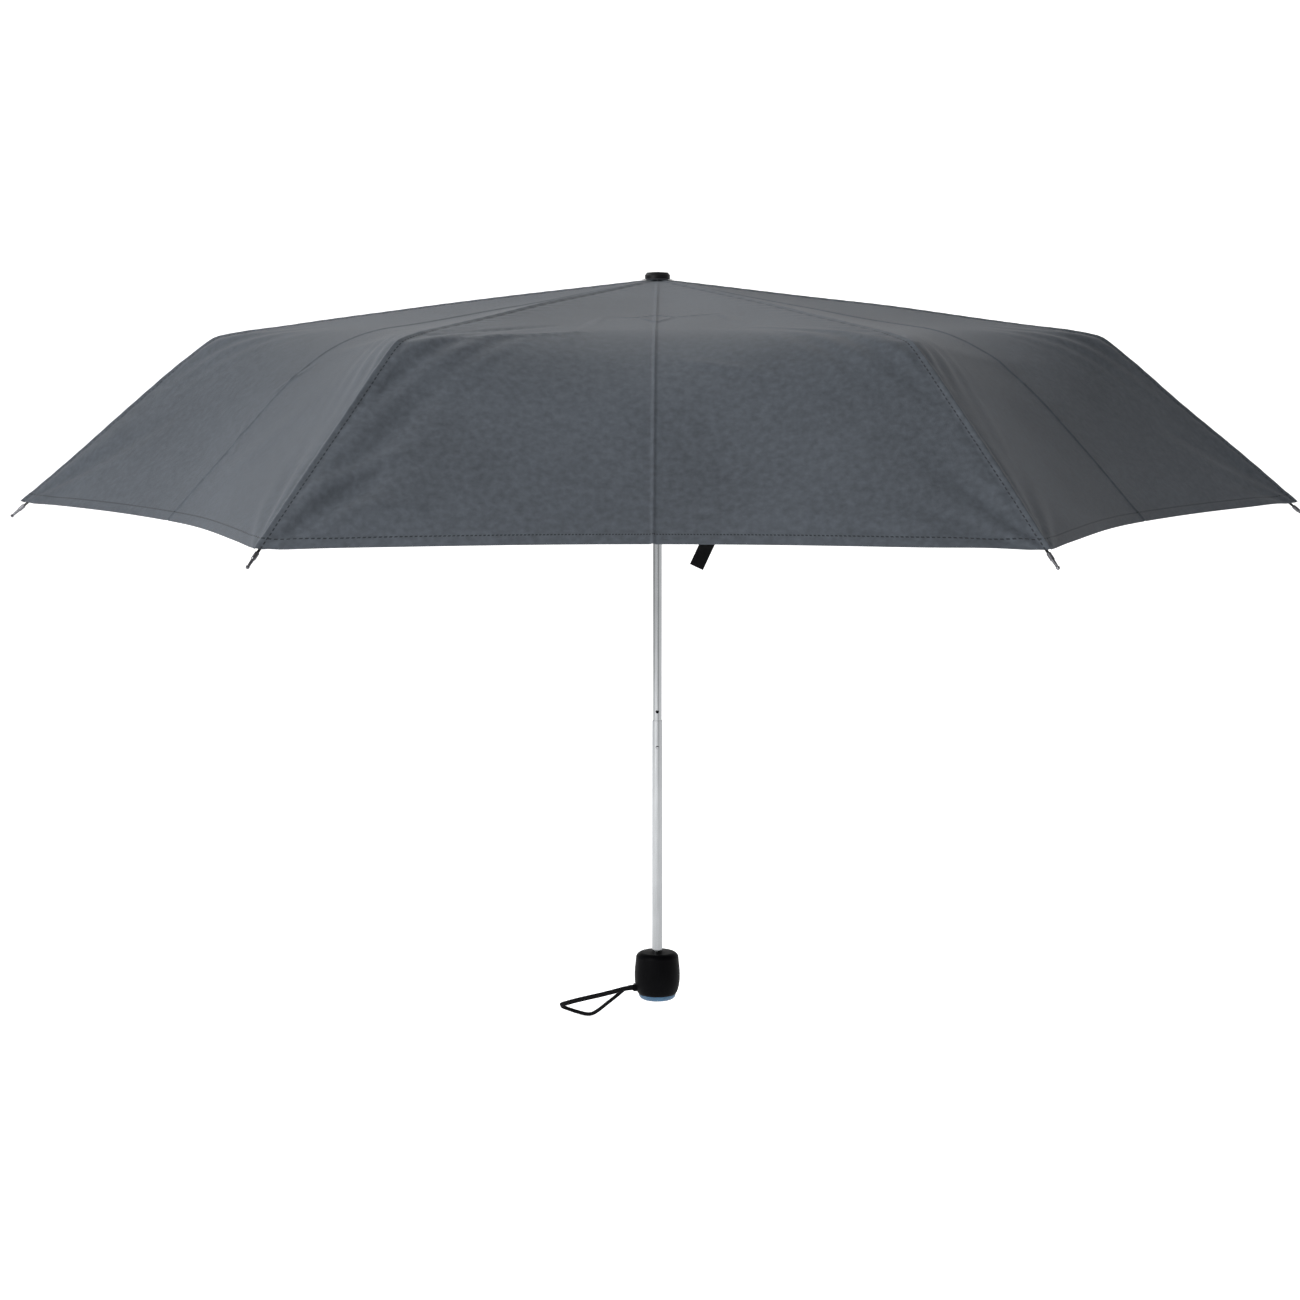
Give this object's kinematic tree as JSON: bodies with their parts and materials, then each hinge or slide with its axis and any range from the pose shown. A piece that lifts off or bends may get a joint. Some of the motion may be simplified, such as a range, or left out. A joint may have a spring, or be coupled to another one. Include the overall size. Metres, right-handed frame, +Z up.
{
  "type": "folding umbrella",
  "caption": "Compact folding umbrella shown open: telescoping shaft, short cylindrical handle with wrist strap, jointed folding ribs and a dark fabric canopy.",
  "frame": {"origin": "centre of the handle's flat base", "axes": "+Z up the shaft from handle to crown, -Y to the front where the lock buttons are, +X along rib 1"},
  "size_m": [0.9672, 0.838, 0.5627],
  "materials": {
    "canopy_fabric": "water-repellent plain weave",
    "webbing": "woven webbing",
    "hook_and_loop": "hook-and-loop patch",
    "handle_plastic": "satin",
    "cap_plastic": "gloss",
    "hub_plastic": "moulded",
    "shaft_steel": "bright plated",
    "rib_steel": "plated",
    "rib_black": "black coated",
    "tip_metal": "dark nickel"
  },
  "bodies": {
    "handle": {"handle_grip": "handle_plastic", "handle_base_cap": "cap_plastic", "strap_anchor": "handle_plastic", "wrist_strap": "webbing", "lower_tube": "shaft_steel"},
    "lower_lock": {"lower_lock_button": "shaft_steel"},
    "middle_tube": {"middle_tube": "shaft_steel"},
    "upper_lock": {"upper_lock_button": "shaft_steel"},
    "upper_tube": {"upper_tube": "shaft_steel", "crown_notch": "hub_plastic", "crown_wire": "shaft_steel", "crown_washer": "canopy_fabric", "ferrule_cap": "hub_plastic"},
    "runner_catch": {"runner_catch": "shaft_steel"},
    "runner": {"runner": "hub_plastic", "runner_wire": "shaft_steel"},
    "inner_rib_1": {"inner_rib_1": "rib_steel", "canopy_gore_1": "canopy_fabric"},
    "middle_rib_1": {"middle_rib_1": "rib_steel"},
    "outer_rib_1": {"outer_rib_1": "rib_black", "rib_tip_1": "tip_metal"},
    "strut_1": {"strut_1": "rib_steel"},
    "inner_rib_2": {"inner_rib_2": "rib_steel", "canopy_gore_2": "canopy_fabric"},
    "middle_rib_2": {"middle_rib_2": "rib_steel"},
    "outer_rib_2": {"outer_rib_2": "rib_black", "rib_tip_2": "tip_metal"},
    "strut_2": {"strut_2": "rib_steel"},
    "inner_rib_3": {"inner_rib_3": "rib_steel", "canopy_gore_3": "canopy_fabric"},
    "middle_rib_3": {"middle_rib_3": "rib_steel"},
    "outer_rib_3": {"outer_rib_3": "rib_black", "rib_tip_3": "tip_metal"},
    "strut_3": {"strut_3": "rib_steel"},
    "inner_rib_4": {"inner_rib_4": "rib_steel", "canopy_gore_4": "canopy_fabric"},
    "middle_rib_4": {"middle_rib_4": "rib_steel"},
    "outer_rib_4": {"outer_rib_4": "rib_black", "rib_tip_4": "tip_metal"},
    "strut_4": {"strut_4": "rib_steel"},
    "inner_rib_5": {"inner_rib_5": "rib_steel", "canopy_gore_5": "canopy_fabric"},
    "middle_rib_5": {"middle_rib_5": "rib_steel"},
    "outer_rib_5": {"outer_rib_5": "rib_black", "rib_tip_5": "tip_metal"},
    "strut_5": {"strut_5": "rib_steel"},
    "inner_rib_6": {"inner_rib_6": "rib_steel", "canopy_gore_6": "canopy_fabric"},
    "middle_rib_6": {"middle_rib_6": "rib_steel"},
    "outer_rib_6": {"outer_rib_6": "rib_black", "rib_tip_6": "tip_metal", "tie_strap": "webbing", "tie_fastener": "hook_and_loop"},
    "strut_6": {"strut_6": "rib_steel"}
  },
  "joints": [
    {"name": "middle_tube_slide", "type": "slide", "parent": "handle", "child": "middle_tube", "axis": [0, 0, 1], "range_m": [-0.148, 0]},
    {"name": "upper_tube_slide", "type": "slide", "parent": "middle_tube", "child": "upper_tube", "axis": [0, 0, 1], "range_m": [-0.142, 0], "deforming": ["runner_catch"]},
    {"name": "canopy_fold", "type": "hinge", "parent": "upper_tube", "child": "inner_rib_1", "pos_m": [0.008, 0, 0.538], "axis": [0, -1, 0], "range_deg": [-81.9, 0], "deforming": ["canopy_gore_1", "canopy_gore_2", "canopy_gore_3", "canopy_gore_4", "canopy_gore_5", "canopy_gore_6", "tie_strap", "tie_fastener"]},
    {"name": "strut_1_pivot", "type": "hinge", "parent": "inner_rib_1", "child": "strut_1", "pos_m": [0.07754, 0, 0.52995], "axis": [0, -1, 0], "range_deg": [-0.5, 118.83]},
    {"name": "middle_rib_1_pivot", "type": "hinge", "parent": "inner_rib_1", "child": "middle_rib_1", "pos_m": [0.16716, 0, 0.5215], "axis": [0, -1, 0], "range_deg": [-0.5, 179.6]},
    {"name": "outer_rib_1_pivot", "type": "hinge", "parent": "middle_rib_1", "child": "outer_rib_1", "pos_m": [0.3262, 0, 0.49616], "axis": [0, -1, 0], "range_deg": [-148.4, 0.5]},
    {"name": "inner_rib_2_pivot", "type": "hinge", "parent": "upper_tube", "child": "inner_rib_2", "pos_m": [0.004, 0.00693, 0.538], "axis": [0.866, -0.5, 0], "range_deg": [-82.4, 0.5]},
    {"name": "strut_2_pivot", "type": "hinge", "parent": "inner_rib_2", "child": "strut_2", "pos_m": [0.03877, 0.06715, 0.52995], "axis": [0.866, -0.5, 0], "range_deg": [-0.5, 118.83]},
    {"name": "middle_rib_2_pivot", "type": "hinge", "parent": "inner_rib_2", "child": "middle_rib_2", "pos_m": [0.08358, 0.14476, 0.5215], "axis": [0.866, -0.5, 0], "range_deg": [-0.5, 179.6]},
    {"name": "outer_rib_2_pivot", "type": "hinge", "parent": "middle_rib_2", "child": "outer_rib_2", "pos_m": [0.1631, 0.28249, 0.49616], "axis": [0.866, -0.5, 0], "range_deg": [-148.4, 0.5]},
    {"name": "inner_rib_3_pivot", "type": "hinge", "parent": "upper_tube", "child": "inner_rib_3", "pos_m": [-0.004, 0.00693, 0.538], "axis": [0.866, 0.5, 0], "range_deg": [-82.4, 0.5]},
    {"name": "strut_3_pivot", "type": "hinge", "parent": "inner_rib_3", "child": "strut_3", "pos_m": [-0.03877, 0.06715, 0.52995], "axis": [0.866, 0.5, 0], "range_deg": [-0.5, 118.83]},
    {"name": "middle_rib_3_pivot", "type": "hinge", "parent": "inner_rib_3", "child": "middle_rib_3", "pos_m": [-0.08358, 0.14476, 0.5215], "axis": [0.866, 0.5, 0], "range_deg": [-0.5, 179.6]},
    {"name": "outer_rib_3_pivot", "type": "hinge", "parent": "middle_rib_3", "child": "outer_rib_3", "pos_m": [-0.1631, 0.28249, 0.49616], "axis": [0.866, 0.5, 0], "range_deg": [-148.4, 0.5]},
    {"name": "inner_rib_4_pivot", "type": "hinge", "parent": "upper_tube", "child": "inner_rib_4", "pos_m": [-0.008, 0, 0.538], "axis": [0, 1, 0], "range_deg": [-82.4, 0.5]},
    {"name": "strut_4_pivot", "type": "hinge", "parent": "inner_rib_4", "child": "strut_4", "pos_m": [-0.07754, 0, 0.52995], "axis": [0, 1, 0], "range_deg": [-0.5, 118.83]},
    {"name": "middle_rib_4_pivot", "type": "hinge", "parent": "inner_rib_4", "child": "middle_rib_4", "pos_m": [-0.16716, 0, 0.5215], "axis": [0, 1, 0], "range_deg": [-0.5, 179.6]},
    {"name": "outer_rib_4_pivot", "type": "hinge", "parent": "middle_rib_4", "child": "outer_rib_4", "pos_m": [-0.3262, 0, 0.49616], "axis": [0, 1, 0], "range_deg": [-148.4, 0.5]},
    {"name": "inner_rib_5_pivot", "type": "hinge", "parent": "upper_tube", "child": "inner_rib_5", "pos_m": [-0.004, -0.00693, 0.538], "axis": [-0.866, 0.5, 0], "range_deg": [-82.4, 0.5]},
    {"name": "strut_5_pivot", "type": "hinge", "parent": "inner_rib_5", "child": "strut_5", "pos_m": [-0.03877, -0.06715, 0.52995], "axis": [-0.866, 0.5, 0], "range_deg": [-0.5, 118.83]},
    {"name": "middle_rib_5_pivot", "type": "hinge", "parent": "inner_rib_5", "child": "middle_rib_5", "pos_m": [-0.08358, -0.14476, 0.5215], "axis": [-0.866, 0.5, 0], "range_deg": [-0.5, 179.6]},
    {"name": "outer_rib_5_pivot", "type": "hinge", "parent": "middle_rib_5", "child": "outer_rib_5", "pos_m": [-0.1631, -0.28249, 0.49616], "axis": [-0.866, 0.5, 0], "range_deg": [-148.4, 0.5]},
    {"name": "inner_rib_6_pivot", "type": "hinge", "parent": "upper_tube", "child": "inner_rib_6", "pos_m": [0.004, -0.00693, 0.538], "axis": [-0.866, -0.5, 0], "range_deg": [-82.4, 0.5]},
    {"name": "strut_6_pivot", "type": "hinge", "parent": "inner_rib_6", "child": "strut_6", "pos_m": [0.03877, -0.06715, 0.52995], "axis": [-0.866, -0.5, 0], "range_deg": [-0.5, 118.83]},
    {"name": "middle_rib_6_pivot", "type": "hinge", "parent": "inner_rib_6", "child": "middle_rib_6", "pos_m": [0.08358, -0.14476, 0.5215], "axis": [-0.866, -0.5, 0], "range_deg": [-0.5, 179.6]},
    {"name": "outer_rib_6_pivot", "type": "hinge", "parent": "middle_rib_6", "child": "outer_rib_6", "pos_m": [0.1631, -0.28249, 0.49616], "axis": [-0.866, -0.5, 0], "range_deg": [-148.4, 0.5]},
    {"name": "runner_slide", "type": "slide", "parent": "upper_tube", "child": "runner", "axis": [0, 0, 1], "range_m": [-0.08607, 0.001]},
    {"name": "lower_lock_press", "type": "slide", "parent": "handle", "child": "lower_lock", "axis": [0, 1, 0], "range_m": [0, 0.0007], "stiffness_N_per_m": 150},
    {"name": "upper_lock_press", "type": "slide", "parent": "middle_tube", "child": "upper_lock", "axis": [0, 1, 0], "range_m": [0, 0.0007], "stiffness_N_per_m": 150},
    {"name": "runner_catch_press", "type": "slide", "parent": "upper_tube", "child": "runner_catch", "axis": [0, 1, 0], "range_m": [0, 0.0012], "stiffness_N_per_m": 150}
  ],
  "couplings": [
    {"joint": "strut_1_pivot", "follows": "canopy_fold", "ratio": -1.4386},
    {"joint": "middle_rib_1_pivot", "follows": "canopy_fold", "ratio": -2.1807},
    {"joint": "outer_rib_1_pivot", "follows": "canopy_fold", "ratio": 1.7998},
    {"joint": "inner_rib_2_pivot", "follows": "canopy_fold", "ratio": 1},
    {"joint": "strut_2_pivot", "follows": "canopy_fold", "ratio": -1.4386},
    {"joint": "middle_rib_2_pivot", "follows": "canopy_fold", "ratio": -2.1807},
    {"joint": "outer_rib_2_pivot", "follows": "canopy_fold", "ratio": 1.7998},
    {"joint": "inner_rib_3_pivot", "follows": "canopy_fold", "ratio": 1},
    {"joint": "strut_3_pivot", "follows": "canopy_fold", "ratio": -1.4386},
    {"joint": "middle_rib_3_pivot", "follows": "canopy_fold", "ratio": -2.1807},
    {"joint": "outer_rib_3_pivot", "follows": "canopy_fold", "ratio": 1.7998},
    {"joint": "inner_rib_4_pivot", "follows": "canopy_fold", "ratio": 1},
    {"joint": "strut_4_pivot", "follows": "canopy_fold", "ratio": -1.4386},
    {"joint": "middle_rib_4_pivot", "follows": "canopy_fold", "ratio": -2.1807},
    {"joint": "outer_rib_4_pivot", "follows": "canopy_fold", "ratio": 1.7998},
    {"joint": "inner_rib_5_pivot", "follows": "canopy_fold", "ratio": 1},
    {"joint": "strut_5_pivot", "follows": "canopy_fold", "ratio": -1.4386},
    {"joint": "middle_rib_5_pivot", "follows": "canopy_fold", "ratio": -2.1807},
    {"joint": "outer_rib_5_pivot", "follows": "canopy_fold", "ratio": 1.7998},
    {"joint": "inner_rib_6_pivot", "follows": "canopy_fold", "ratio": 1},
    {"joint": "strut_6_pivot", "follows": "canopy_fold", "ratio": -1.4386},
    {"joint": "middle_rib_6_pivot", "follows": "canopy_fold", "ratio": -2.1807},
    {"joint": "outer_rib_6_pivot", "follows": "canopy_fold", "ratio": 1.7998},
    {"joint": "runner_slide", "follows": "canopy_fold", "m_per_rad": 0.059512}
  ]
}
